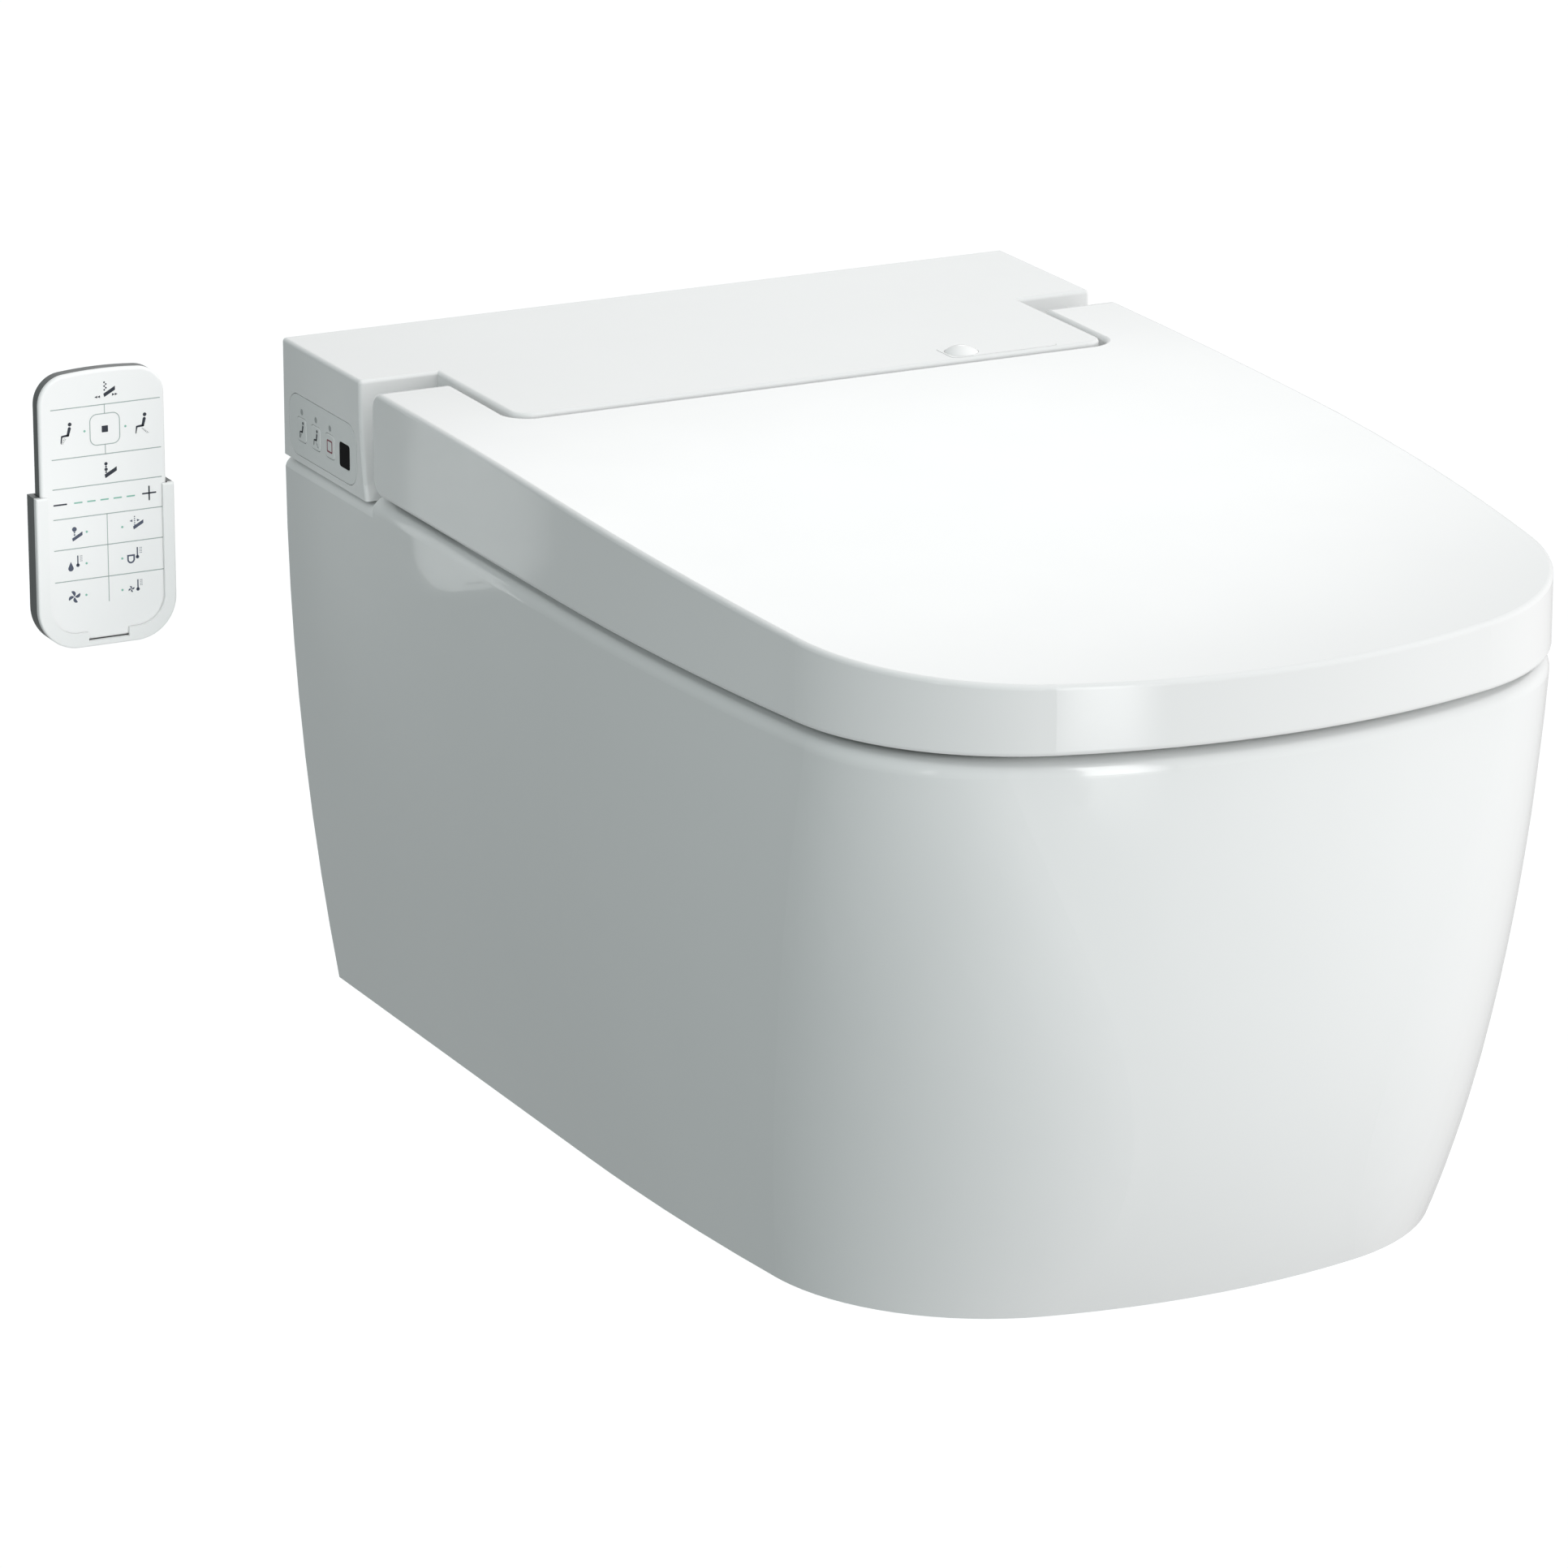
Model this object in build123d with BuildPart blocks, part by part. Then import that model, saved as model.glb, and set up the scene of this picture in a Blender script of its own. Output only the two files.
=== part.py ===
from build123d import *
import os
from dataclasses import dataclass
from math import atan2, cos, degrees, radians, sin

# Wall-hung shower toilet: a ceramic pan, an electronic washing seat on it, and a remote control in a
# wall holder beside it. Millimetres. The wall is the plane Y = 0, the front faces -Y, +Z is up, and
# the origin is on the wall midway between the two studs that the pan hangs on.

# ---------------------------------------------------------------- driving dimensions
TOP = 135.0                      # top of the housing above the studs
BASE_BOTTOM = TOP - 55.9         # underside of the housing, cover and base alike
LID_BOTTOM = TOP - 49.0          # lower edge of the lid's skirt
RIM = TOP - 52.0                 # top of the pan's rim
DECK = TOP - 57.0                # pan's deck under the housing
SHOULDER = TOP - 60.0            # where the pan's sides start to curve in
PAN_BOTTOM = TOP - 318.7
PAN_HEIGHT = SHOULDER - PAN_BOTTOM

SIDE_RADIUS = 1705.0             # long arc of the plan outlines' sides
COVER_HALF = 190.0               # half width of the housing
TONGUE_HALF = 151.0              # half width of the housing between the lid's arms
TONGUE_FRONT = -176.0
TONGUE_CORNER = 9.5
COVER_WALL = 3.0
LID_GAP = 3.3                    # gap between lid and housing tongue
LID_WALL = 3.0
HINGE_Y = -121.0                 # axis that lid and seat turn on
HINGE_Z = TOP - 23.0
PIN_R = 5.0
BORE_R = 5.05                    # running fit on the pin
CERAMIC = 13.0                   # wall of the pan

STUD_X = 90.0                    # studs 180 apart
INLET_Z = 35.0                   # flush inlet above the studs
OUTLET_Z = -100.0                # waste outlet below the studs

NOZZLE_TILT = 15.0               # degrees below horizontal
NOZZLE_Y = -170.0                # tip of the nozzle at rest, on its axis
NOZZLE_Z = TOP - 55.05
NOZZLE_R = 6.5

REMOTE_X = -285.2                # centre of the remote control
HINGE_AXIS = Plane(origin=(0, HINGE_Y, HINGE_Z), x_dir=(0, 1, 0), z_dir=(1, 0, 0))
NOZZLE_PLANE = Plane(
    origin=(0, NOZZLE_Y, NOZZLE_Z),
    x_dir=(1, 0, 0),
    z_dir=(0, cos(radians(NOZZLE_TILT)), sin(radians(NOZZLE_TILT))),
)
SIDES = (("left", -1), ("right", 1))

os.makedirs("parts", exist_ok=True)


def save(builder, name):
    """Label a finished piece and write it."""
    builder.part.label = name
    export_step(builder.part, f"parts/{name}.step")


# ---------------------------------------------------------------- shared outlines
@dataclass
class Plan:
    """A plan outline: straight sides, then a long side arc, a corner arc and a front arc, all tangent."""

    half_width: float
    straight_to: float
    side_turn: float
    front: float
    front_radius: float


LID_PLAN = Plan(191.4, -298.0, 7.1, -615.0, 340.0)
PAN_TOP = Plan(189.8, -300.0, 7.2, -611.5, 315.0)
PAN_FOOT = Plan(167.0, -278.5, 5.8, -552.9, 332.0)


def outline(plan, inset=0.0, back=0.0):
    """The face inside a plan outline, moved in by inset, with its straight back edge at y = back."""
    half = plan.half_width - inset
    side_radius = SIDE_RADIUS - inset
    nose_radius = plan.front_radius - inset
    turn = radians(plan.side_turn)
    flank_x = half - side_radius * (1 - cos(turn))
    flank_y = plan.straight_to - side_radius * sin(turn)
    nose_y = plan.front + plan.front_radius
    drop = flank_y - nose_y
    spare = nose_radius**2 - flank_x**2 - drop**2
    corner_radius = spare / (2 * (nose_radius - flank_x * cos(turn) + drop * sin(turn)))
    centre_x = flank_x - corner_radius * cos(turn)
    centre_y = flank_y + corner_radius * sin(turn)
    nose_turn = degrees(atan2(nose_y - centre_y, centre_x))
    with BuildSketch() as face:
        with BuildLine():
            side = Line((half, back), (half, plan.straight_to))
            flank = JernArc(side @ 1, side % 1, side_radius, -plan.side_turn)
            corner = JernArc(flank @ 1, flank % 1, corner_radius, plan.side_turn - nose_turn)
            JernArc(corner @ 1, corner % 1, nose_radius, nose_turn - 90)
            mirror(about=Plane.YZ)
            Line((-half, back), (half, back))
        make_face()
    return face.sketch


def pan_plan(height):
    """The pan's outline at a height: its sides and its front curve in towards the foot."""
    depth = (SHOULDER - height) / PAN_HEIGHT
    return Plan(
        PAN_TOP.half_width + (PAN_FOOT.half_width - PAN_TOP.half_width) * depth**2,
        PAN_TOP.straight_to + (PAN_FOOT.straight_to - PAN_TOP.straight_to) * depth,
        PAN_TOP.side_turn + (PAN_FOOT.side_turn - PAN_TOP.side_turn) * depth,
        PAN_TOP.front + (PAN_FOOT.front - PAN_TOP.front) * depth**3.2,
        PAN_TOP.front_radius + (PAN_FOOT.front_radius - PAN_TOP.front_radius) * depth,
    )


def slab(x0, x1, y0, y1, z0, z1, mode=Mode.ADD):
    """A block between two corners, joined to or cut from the part being built."""
    with Locations(((x0 + x1) / 2, (y0 + y1) / 2, (z0 + z1) / 2)):
        return Box(x1 - x0, y1 - y0, z1 - z0, mode=mode)


def wall_plane(x, z):
    """A plane on the wall whose normal points to the front."""
    return Plane(origin=(x, 0, z), x_dir=(1, 0, 0), z_dir=(0, -1, 0))


def bar(plane, start, end, radius, mode=Mode.ADD):
    """A round bar along a plane's normal, from start to end."""
    with Locations(plane.offset((start + end) / 2)):
        return Cylinder(radius, end - start, mode=mode)


# ---------------------------------------------------------------- ceramic pan
BOWL = (  # height, half width, rear and front of the bowl's inside
    (RIM, 138.0, -138.0, -556.0),
    (RIM - 45.0, 131.0, -148.0, -546.0),
    (RIM - 105.0, 108.0, -186.0, -508.0),
    (RIM - 165.0, 74.0, -240.0, -452.0),
    (RIM - 215.0, 48.0, -286.0, -408.0),
    (RIM - 246.0, 34.0, -306.0, -386.0),
)
BOWL_WALL = 11.0
TRAP = ((0, -345, -137), (0, -262, -137), (0, -150, -37), (0, -75, OUTLET_Z), (0, -20, OUTLET_Z))
TRAP_RADII = (60, 42, 60)
TRAP_R = 24.0
REAR_WALL = 22.0
STEPS = 5
SPIGOT_R = 51.0
INLET_R = 27.5
SLEEVE_R = 11.0
STUD_BORE_R = 6.5
LEDGE_BACK = 101.0               # the raised rim starts this far from the wall at the sides
LEDGE_HALF = 155.0               # and outside this half width beside the housing tongue
LEDGE_FRONT = -182.0
DECK_FRONT = -137.0
BOLTS = ((-77.5, -97.0), (77.5, -97.0))
BOLT_HOLE_R = 6.0
HOLLOW_TOP = DECK - 12.0         # underside of the deck
HOLLOW_FLOOR = PAN_BOTTOM + 12.0
REAR_WALL_FOOT = -60.0           # the back is open below this, for the pipes
INLET_WALL_R = INLET_R + 10.0
JET_R = 17.0                     # flush water passage into the bowl
INLET_DEPTH = 60.0
OUTLET_DEPTH = 45.0
SPIGOT_LENGTH = 60.0
DECK_ROUND = 6.0                 # rounding of the deck's outer edge under the housing


def bowl_loft(grow, mode):
    """The bowl's shape, its wall moved out by grow."""
    sections = []
    for height, half, rear, front in BOWL:
        with BuildSketch(Plane.XY.offset(height - grow)) as section:
            with Locations((0, (rear + front) / 2)):
                Ellipse(half + grow, (rear - front) / 2 + grow)
        sections.append(section.sketch)
    return loft(sections, mode=mode)


def trap_pipe(radius, mode):
    """The waterway from the bowl up over its weir and down to the outlet."""
    with BuildLine() as path:
        FilletPolyline(*TRAP, radius=TRAP_RADII)
    with BuildSketch(Plane(origin=TRAP[0], x_dir=(1, 0, 0), z_dir=(0, 1, 0))) as section:
        Circle(radius)
    return sweep(section.sketch, path=path.line, mode=mode)


with BuildPart() as pan_body:
    for step in range(STEPS + 1):
        height = SHOULDER - PAN_HEIGHT * step / STEPS
        with BuildSketch(Plane.XY.offset(height)):
            add(outline(pan_plan(height)))
    loft()
    with BuildSketch(Plane.XY.offset(SHOULDER)):
        add(outline(PAN_TOP))
    extrude(amount=RIM - SHOULDER)
    top_edges = pan_body.faces().sort_by(Axis.Z)[-1].edges()
    fillet(top_edges.filter_by(lambda edge: edge.center().Y < -1), 7.4)

with BuildPart() as pan_hollow:
    for step in range(STEPS + 1):
        height = HOLLOW_TOP - (HOLLOW_TOP - HOLLOW_FLOOR) * step / STEPS
        with BuildSketch(Plane.XY.offset(height)):
            add(outline(pan_plan(height), inset=CERAMIC, back=1.0))
    loft()

with BuildPart() as deck_cutter:
    with BuildSketch(Plane.XZ.offset(LEDGE_BACK)) as profile:
        with Locations((0, DECK)):
            Rectangle(400, 2 * DECK_ROUND)
        with BuildSketch(mode=Mode.SUBTRACT) as kept:
            with Locations((0, DECK - 2 * DECK_ROUND)):
                Rectangle(2 * PAN_TOP.half_width + 0.2, 4 * DECK_ROUND)
            fillet(kept.vertices().group_by(Axis.Y)[-1], DECK_ROUND)
    extrude(amount=-LEDGE_BACK - 1)

# The fired pan is one ceramic piece. Its shell, deck, floor, rear wall, bowl, waterway and flush inlet are
# separate castings that are joined face to face while the clay is wet, and each is a node of its own here.
with BuildPart() as deck:
    slab(-LEDGE_HALF, LEDGE_HALF, DECK_FRONT, 0, HOLLOW_TOP, DECK)
    for x, y in BOLTS:
        bar(Plane(origin=(x, y, 0)), HOLLOW_TOP - 1, DECK + 1, BOLT_HOLE_R, Mode.SUBTRACT)
save(deck, "ceramic_deck")

with BuildPart() as pan_floor:
    with BuildSketch(Plane.XY.offset(PAN_BOTTOM)):
        add(outline(pan_plan(PAN_BOTTOM), inset=CERAMIC))
    extrude(amount=HOLLOW_FLOOR - PAN_BOTTOM)
save(pan_floor, "ceramic_floor")

with BuildPart() as rear_wall:
    add(pan_hollow.part)
    slab(-200, 200, -REAR_WALL, 0, REAR_WALL_FOOT, HOLLOW_TOP, mode=Mode.INTERSECT)
    bar(wall_plane(0, OUTLET_Z), -1, REAR_WALL + 1, SPIGOT_R, Mode.SUBTRACT)
    bar(wall_plane(0, INLET_Z), -1, REAR_WALL + 1, INLET_WALL_R, Mode.SUBTRACT)
    for x in (-STUD_X, STUD_X):
        bar(wall_plane(x, 0), -1, REAR_WALL + 1, SLEEVE_R + 0.1, Mode.SUBTRACT)
save(rear_wall, "ceramic_rear_wall")

with BuildPart() as pan:
    add(pan_body.part)
    add(pan_hollow.part, mode=Mode.SUBTRACT)
    add(pan_floor.part, mode=Mode.SUBTRACT)
    bowl_loft(0, Mode.SUBTRACT)
    add(deck_cutter.part, mode=Mode.SUBTRACT)
    slab(-LEDGE_HALF, LEDGE_HALF, LEDGE_FRONT, 1, DECK, RIM + 1, Mode.SUBTRACT)
    slab(-LEDGE_HALF, LEDGE_HALF, DECK_FRONT, 1, HOLLOW_TOP - 1, DECK + 1, Mode.SUBTRACT)
save(pan, "ceramic_pan")

with BuildPart() as bowl:
    bowl_loft(BOWL_WALL, Mode.ADD)
    add(pan_hollow.part, mode=Mode.INTERSECT)
    bowl_loft(0, Mode.SUBTRACT)
    trap_pipe(TRAP_R, Mode.SUBTRACT)
    bar(wall_plane(0, INLET_Z), INLET_DEPTH, 200, JET_R, Mode.SUBTRACT)
save(bowl, "ceramic_bowl")

with BuildPart() as trapway:
    trap_pipe(TRAP_R + 10, Mode.ADD)
    bar(wall_plane(0, OUTLET_Z), 0, SPIGOT_LENGTH, SPIGOT_R)
    bowl_loft(BOWL_WALL, Mode.SUBTRACT)
    trap_pipe(TRAP_R, Mode.SUBTRACT)
    bar(wall_plane(0, OUTLET_Z), -1, OUTLET_DEPTH, SPIGOT_R - 6, Mode.SUBTRACT)
save(trapway, "ceramic_trapway")

with BuildPart() as flush_inlet:
    bar(wall_plane(0, INLET_Z), 0, 170, INLET_WALL_R)
    slab(-60, 60, -171, 0, -20, HOLLOW_TOP, mode=Mode.INTERSECT)
    bowl_loft(BOWL_WALL, Mode.SUBTRACT)
    bar(wall_plane(0, INLET_Z), -1, INLET_DEPTH, INLET_R, Mode.SUBTRACT)
    bar(wall_plane(0, INLET_Z), INLET_DEPTH - 1, 200, JET_R, Mode.SUBTRACT)
save(flush_inlet, "ceramic_flush_inlet")

with BuildPart() as sleeves:
    for x in (-STUD_X, STUD_X):
        bar(wall_plane(x, 0), 0, REAR_WALL, SLEEVE_R)
        bar(wall_plane(x, 0), REAR_WALL, REAR_WALL + 3, SLEEVE_R + 5)
        bar(wall_plane(x, 0), -1, REAR_WALL + 4, STUD_BORE_R, Mode.SUBTRACT)
save(sleeves, "stud_sleeves")

# ---------------------------------------------------------------- housing
FRONT_ARC = ((-88.6, TOP), (-90.2, TOP - 33), (-94.6, BASE_BOTTOM))   # flared front of the side boxes
FLOOR_TOP = BASE_BOTTOM + 2.7
CEILING = TOP - COVER_WALL
PANEL_Y = -45.0                  # control panel on the left side
PANEL_Z = TOP - 37.9
PANEL_SIZE = (78.0, 28.9)
PANEL_CORNER = 9.5
PANEL_DEPTH = 1.2
BUTTON_Y = (-20.8, -37.1, -53.4)
BUTTON_Z = TOP - 39.5
BUTTON_SIZE = (10.4, 11.2)
LIGHT_Z = TOP - 30.9
WINDOW_AT = (-70.2, TOP - 40.0)
WINDOW_SIZE = (11.4, 11.6)
PLATE_AT = (99.5, -164.3)        # name plate on the tongue
PLATE_SIZE = (55.0, 18.6)
DOME_AT = (81.0, -164.3)
DOME_R = 7.9
PORT_HALF = 9.5                  # nozzle port in the tongue's front
PORT_TOP = TOP - 45.5
SUPPLY_AT = (-66.0, TOP - 36.0)  # water supply thread in the housing's back
GLAND_AT = (163.0, TOP - 36.0)   # mains cable gland in the housing's back
GLAND_R = 8.3
DUCT = (42.0, 62.0)              # dryer duct, left and right
TONGUE_WALL = TONGUE_HALF - COVER_WALL


def panel_plane(y, z):
    """A plane on the housing's left side with its normal pointing out."""
    return Plane(origin=(-COVER_HALF, y, z), x_dir=(0, -1, 0), z_dir=(-1, 0, 0))


def side_pad(at, size, corner, out, depth, mode=Mode.ADD):
    """A rounded pad in the left side, from out proud of the face down to depth."""
    with BuildSketch(panel_plane(*at).offset(out)) as face:
        RectangleRounded(*size, corner)
    return extrude(face.sketch, amount=-(out + depth), mode=mode)


def cover_shape(inset, back, mode):
    """The cover's outer shape moved in by inset: side boxes with flared fronts, and the tongue."""
    half = COVER_HALF - inset
    top = TOP - inset
    arc = [(y + inset, min(z, top)) for y, z in FRONT_ARC]
    with BuildSketch(Plane.YZ.offset(-half)) as profile:
        with BuildLine():
            ThreePointArc(*arc)
            Polyline(arc[2], (back, BASE_BOTTOM), (back, top), arc[0])
        make_face()
    extrude(profile.sketch, amount=2 * half, mode=mode)
    with BuildSketch(Plane.XY.offset(BASE_BOTTOM)) as tongue:
        with Locations((0, (TONGUE_FRONT + inset - 60) / 2)):
            Rectangle(2 * (TONGUE_HALF - inset), -60 - TONGUE_FRONT - inset)
        fillet(tongue.vertices().group_by(Axis.Y)[0], TONGUE_CORNER - inset)
    extrude(tongue.sketch, amount=top - BASE_BOTTOM, mode=mode)


with BuildPart() as cover:
    cover_shape(0, 0, Mode.ADD)
    top_edges = cover.faces().sort_by(Axis.Z)[-1].edges()
    corners = cover.edges().filter_by(lambda edge: abs(edge.center().X) > COVER_HALF - 0.1)
    corners = corners.filter_by(lambda edge: edge.center().Y < -80)
    fillet(top_edges.filter_by(lambda edge: edge.center().Y < -1) + corners, 1.8)
    cover_shape(COVER_WALL, 1, Mode.SUBTRACT)
    recess_size = [size + 0.7 for size in PANEL_SIZE]
    side_pad((PANEL_Y, PANEL_Z), recess_size, PANEL_CORNER + 0.35, 1, PANEL_DEPTH, Mode.SUBTRACT)
    for y in BUTTON_Y:
        side_pad((y, BUTTON_Z), [size + 0.6 for size in BUTTON_SIZE], 2.3, 1, 8, Mode.SUBTRACT)
        bar(panel_plane(y, LIGHT_Z), -8, 1, 1.45, Mode.SUBTRACT)
    side_pad(WINDOW_AT, (8.0, 8.0), 1.0, 1, 8, Mode.SUBTRACT)
    with BuildSketch(Plane.XY.offset(TOP - 1.0)) as recess:
        with Locations(PLATE_AT):
            RectangleRounded(PLATE_SIZE[0] + 0.4, PLATE_SIZE[1] + 0.4, 3.2)
    extrude(recess.sketch, amount=2, mode=Mode.SUBTRACT)
    bar(Plane(origin=(*DOME_AT, 0)), TOP - 8, TOP, 6.0, Mode.SUBTRACT)
    bar(HINGE_AXIS, -160, 160, PIN_R + 0.3, Mode.SUBTRACT)
    port_ends = (TONGUE_FRONT - 1, TONGUE_FRONT + 5)
    slab(-PORT_HALF, PORT_HALF, *port_ends, BASE_BOTTOM - 1, PORT_TOP, Mode.SUBTRACT)
save(cover, "housing_cover")

REAR = (-3.6, -1.0)              # rear wall of the base
with BuildPart() as base:
    slab(-186.4, 186.4, -87.0, REAR[1], BASE_BOTTOM, FLOOR_TOP)
    slab(-147.4, 147.4, -172.4, -86.0, BASE_BOTTOM, FLOOR_TOP)
    fillet(base.edges().filter_by(Axis.Z).group_by(Axis.Y)[0], 7)
    slab(-186.4, 186.4, *REAR, BASE_BOTTOM, TOP - 3.4)
    for side, sign in SIDES:
        ends = sorted((sign * 100.0, sign * 144.0))
        slab(*ends, HINGE_Y - 8, HINGE_Y + 8, FLOOR_TOP, HINGE_Z - 4)
    bar(HINGE_AXIS, -150, 150, 11.05, Mode.SUBTRACT)
    for x in (-84.0, -22.0):
        for y in (-161.0, -110.0):
            bar(Plane(origin=(x, y, 0)), FLOOR_TOP, TOP - 14.0, 2.5)
    for x, y in BOLTS:
        bar(Plane(origin=(x, y, 0)), BASE_BOTTOM - 1, FLOOR_TOP + 1, 4.3, Mode.SUBTRACT)
    bar(wall_plane(*SUPPLY_AT), -1, 4, 15.0, Mode.SUBTRACT)
    bar(wall_plane(*GLAND_AT), -1, 4, GLAND_R + 0.3, Mode.SUBTRACT)
    slab(-PORT_HALF, PORT_HALF, -175, -131, BASE_BOTTOM - 1, FLOOR_TOP + 1, Mode.SUBTRACT)
    slab(DUCT[0] + 2, DUCT[1] - 2, -168, -154, BASE_BOTTOM - 1, FLOOR_TOP + 1, Mode.SUBTRACT)
save(base, "housing_base")

with BuildPart() as gasket:
    slab(-180, 180, -84, -8, DECK + 0.05, BASE_BOTTOM - 0.05)
    slab(-172, 172, -76, -16, DECK, BASE_BOTTOM, Mode.SUBTRACT)
save(gasket, "housing_gasket")

with BuildPart() as bolts:
    for x, y in BOLTS:
        axis = Plane(origin=(x, y, 0))
        bar(axis, FLOOR_TOP, FLOOR_TOP + 4.5, 6.5)
        bar(axis, DECK - 26, FLOOR_TOP, 4.0)
        bar(axis, DECK - 22.5, DECK - 12.1, 9.0)
        with BuildSketch(Plane.XY.offset(FLOOR_TOP + 4.5)) as socket:
            with Locations((x, y)):
                RegularPolygon(2.9, 6)
        extrude(socket.sketch, amount=-3, mode=Mode.SUBTRACT)
save(bolts, "housing_bolts")

# ---------------------------------------------------------------- control panel
with BuildPart() as panel:
    side_pad((PANEL_Y, PANEL_Z), PANEL_SIZE, PANEL_CORNER, 0, PANEL_DEPTH)
    for y in BUTTON_Y:
        side_pad((y, BUTTON_Z), [size + 0.6 for size in BUTTON_SIZE], 2.3, 1, 3, Mode.SUBTRACT)
        bar(panel_plane(y, LIGHT_Z), -3, 1, 1.45, Mode.SUBTRACT)
    side_pad(WINDOW_AT, [size + 0.3 for size in WINDOW_SIZE], 1.6, 1, 3, Mode.SUBTRACT)
save(panel, "control_panel")

for y, name in zip(BUTTON_Y, ("rear_wash_button", "front_wash_button", "stop_button")):
    with BuildPart() as button:
        side_pad((y, BUTTON_Z), BUTTON_SIZE, 2.0, 0.25, 4.6)
        fillet(button.faces().sort_by(Axis.X)[0].edges(), 0.4)
        side_pad((y, BUTTON_Z), [size + 2.4 for size in BUTTON_SIZE], 2.4, -3.3, 4.6)
    save(button, name)

with BuildPart() as lights:
    for y in BUTTON_Y:
        bar(panel_plane(y, LIGHT_Z), -6.6, 0.05, 1.3)
save(lights, "indicator_lights")

with BuildPart() as window:
    side_pad(WINDOW_AT, WINDOW_SIZE, 1.5, 0.1, PANEL_DEPTH)
save(window, "infrared_window")

with BuildPart() as switches:
    slab(-183.2, -181.6, -82, -8, TOP - 51, TOP - 25)
    for y in BUTTON_Y:
        slab(-184.4, -183.2, y - 3, y + 3, BUTTON_Z - 3, BUTTON_Z + 3)
save(switches, "panel_switch_board")

with BuildPart() as plate:
    with BuildSketch(Plane.XY.offset(TOP - 1.0)) as face:
        with Locations(PLATE_AT):
            RectangleRounded(*PLATE_SIZE, 3.0)
        with Locations(DOME_AT):
            Circle(DOME_R + 0.15, mode=Mode.SUBTRACT)
    extrude(face.sketch, amount=1.1)
save(plate, "name_plate")

DOME_RISE = 3.0
with BuildPart() as dome:
    with BuildSketch(Plane(origin=(*DOME_AT, 0), x_dir=(1, 0, 0), z_dir=(0, -1, 0))) as half:
        with BuildLine():
            crown = (0, TOP + 0.1 + DOME_RISE)
            rim_edge = (DOME_R, TOP + 0.1)
            TangentArc(crown, rim_edge, tangent=(1, 0))
            Polyline(rim_edge, (DOME_R, TOP - 1.0), (0, TOP - 1.0), crown)
        make_face()
    revolve(half.sketch, axis=Axis((*DOME_AT, 0), (0, 0, 1)))
save(dome, "sensor_dome")

# ---------------------------------------------------------------- hinges
for side, sign in SIDES:
    with BuildPart() as damper:
        bar(HINGE_AXIS, *sorted((sign * 96.0, sign * 147.4)), 11.0)
        bar(HINGE_AXIS, *sorted((sign * 118.0, sign * 148.0)), BORE_R, Mode.SUBTRACT)
    save(damper, f"hinge_damper_{side}")
    with BuildPart() as pin:
        bar(HINGE_AXIS, *sorted((sign * 120.0, sign * 184.0)), PIN_R)
        fillet(pin.edges().filter_by(GeomType.CIRCLE), 0.6)
    save(pin, f"hinge_pin_{side}")

# ---------------------------------------------------------------- lid
ARM_BACK = -104.5                # rear end of the lid's arms
ARM_INNER = TONGUE_HALF + LID_GAP
CUT_FRONT = TONGUE_FRONT - LID_GAP
LIP_BOTTOM = TOP - 8.0           # the notch's front wall ends here, so that it clears the tongue as it turns
LID_CROWN = (TOP - 0.5, TOP - 5.2, TOP - 19.7)   # top at the arms' rear, middle and front


def lid_profile(inset, low, top_corner, bottom_corner):
    """The lid's side view: a flat bottom, a gently falling top and rounded rear corners."""
    back, front = ARM_BACK - inset, LID_PLAN.front - 1
    crown = [z - inset for z in LID_CROWN]
    with BuildSketch(Plane.YZ) as profile:
        with BuildLine():
            ThreePointArc((back, crown[0]), (-360, crown[1]), (front, crown[2]))
            Polyline((front, crown[2]), (front, low), (back, low), (back, crown[0]))
        make_face()
        fillet(profile.vertices().group_by(Axis.X)[-1].sort_by(Axis.Y)[-1], top_corner)
        fillet(profile.vertices().group_by(Axis.Y)[0].sort_by(Axis.X)[-1], bottom_corner)
    return profile.sketch


def notch(gap, mode):
    """The space around the housing tongue, gap away from it all round."""
    half, front, corner = TONGUE_HALF + gap, TONGUE_FRONT - gap, TONGUE_CORNER + gap
    with BuildSketch(Plane.XY) as face:
        with Locations((0, front / 2)):
            Rectangle(2 * half, -front)
        fillet(face.vertices().group_by(Axis.Y)[0], corner)
    extrude(face.sketch, amount=200, mode=mode)


with BuildPart() as lid_hollow:
    with BuildSketch(Plane.XY.offset(LID_BOTTOM - 5)):
        add(outline(LID_PLAN, inset=LID_WALL))
    extrude(amount=60)
    extrude(lid_profile(LID_WALL, LID_BOTTOM - 5, 6, 1), amount=200, both=True, mode=Mode.INTERSECT)
    notch(LID_GAP + LID_WALL, Mode.SUBTRACT)

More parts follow.
